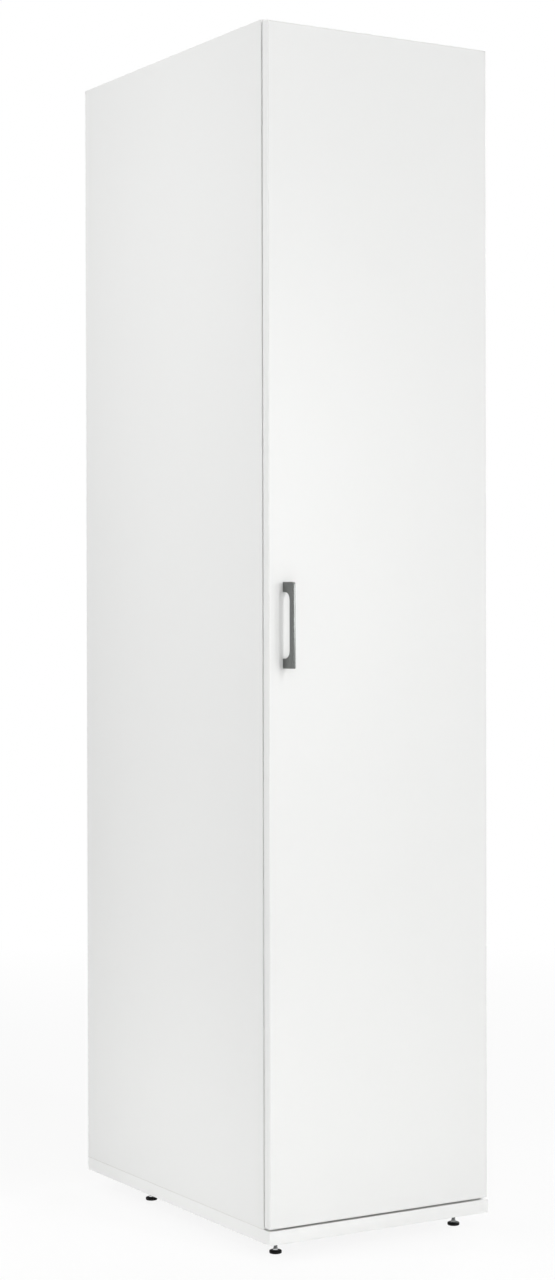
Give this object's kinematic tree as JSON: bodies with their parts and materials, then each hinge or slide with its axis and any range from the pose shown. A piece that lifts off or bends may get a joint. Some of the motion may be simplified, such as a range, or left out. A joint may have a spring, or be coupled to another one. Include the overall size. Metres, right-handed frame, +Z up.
{
  "type": "broom cupboard",
  "caption": "Tall narrow free-standing broom cupboard: full-height door on concealed hinges, bow handle, shelves in the upper part, levelling feet under a thick base.",
  "frame": {"origin": "on the floor under the centre of the bounding box, handle included; the feet's pads stand on z = 0", "axes": "+X to the right as one faces the door (the hinge side), +Y to the back, +Z up; the door's face looks along -Y"},
  "size_m": [0.4, 0.628, 1.85],
  "materials": {
    "white_board": "white melamine-faced chipboard, fine pearl texture",
    "white_door": "white melamine-faced chipboard, fine pearl texture",
    "white_band": "white plastic edge strip, satin",
    "hardboard": "white-lacquered inside, raw brown outside",
    "beech": "plain turned beech",
    "zinc_steel": "bright zinc plating",
    "zinc_cast": "as cast",
    "nickel_steel": "nickel plating",
    "white_plastic": "moulded, fine satin",
    "black_plastic": "moulded, matt",
    "ferrite": "ground ferrite",
    "clear_rubber": "soft clear dots",
    "grey_metal": "dark grey satin coating"
  },
  "bodies": {
    "carcass": {"base_panel": "white_board", "left_side_panel": "white_board", "right_side_panel": "white_board", "top_panel": "white_board", "fixed_shelf": "white_board", "adjustable_shelf": "white_board", "base_edge_bands": "white_band", "side_edge_bands": "white_band", "shelf_edge_bands": "white_band", "back_panel": "hardboard", "dowels": "beech", "base_screws": "zinc_steel", "cam_bolts": "zinc_steel", "wall_bracket": "zinc_steel", "wall_bracket_screws": "zinc_steel", "leveller_inserts": "zinc_steel", "catch_pole_plates": "zinc_steel", "catch_screws": "zinc_steel", "cam_locks": "zinc_cast", "hinge_plates": "nickel_steel", "hinge_plate_screws": "nickel_steel", "hinge_arms": "nickel_steel", "hinge_arm_screws": "nickel_steel", "shelf_pins": "nickel_steel", "leveller_caps": "white_plastic", "catch_housing": "white_plastic", "catch_magnet": "ferrite"},
    "door": {"door_panel": "white_door", "door_edge_bands": "white_band", "door_bumpers": "clear_rubber", "handle": "grey_metal", "handle_screws": "zinc_steel", "hinge_cups": "nickel_steel", "hinge_pins": "nickel_steel", "hinge_cup_screws": "nickel_steel", "strike_plate": "zinc_steel", "strike_screw": "zinc_steel"},
    "leveller_front_left": {"leveller_stem_front_left": "zinc_steel", "leveller_pad_front_left": "black_plastic"},
    "leveller_front_right": {"leveller_stem_front_right": "zinc_steel", "leveller_pad_front_right": "black_plastic"},
    "leveller_rear_left": {"leveller_stem_rear_left": "zinc_steel", "leveller_pad_rear_left": "black_plastic"},
    "leveller_rear_right": {"leveller_stem_rear_right": "zinc_steel", "leveller_pad_rear_right": "black_plastic"}
  },
  "joints": [
    {"name": "door_swing", "type": "hinge", "parent": "carcass", "child": "door", "pos_m": [0.1919, -0.2785, 0.947], "axis": [0, 0, 1], "range_deg": [0, 95]},
    {"name": "leveller_front_left_height", "type": "slide", "parent": "carcass", "child": "leveller_front_left", "axis": [0, 0, 1], "range_m": [0, 0.008]},
    {"name": "leveller_front_right_height", "type": "slide", "parent": "carcass", "child": "leveller_front_right", "axis": [0, 0, 1], "range_m": [0, 0.008]},
    {"name": "leveller_rear_left_height", "type": "slide", "parent": "carcass", "child": "leveller_rear_left", "axis": [0, 0, 1], "range_m": [0, 0.008]},
    {"name": "leveller_rear_right_height", "type": "slide", "parent": "carcass", "child": "leveller_rear_right", "axis": [0, 0, 1], "range_m": [0, 0.008]}
  ]
}
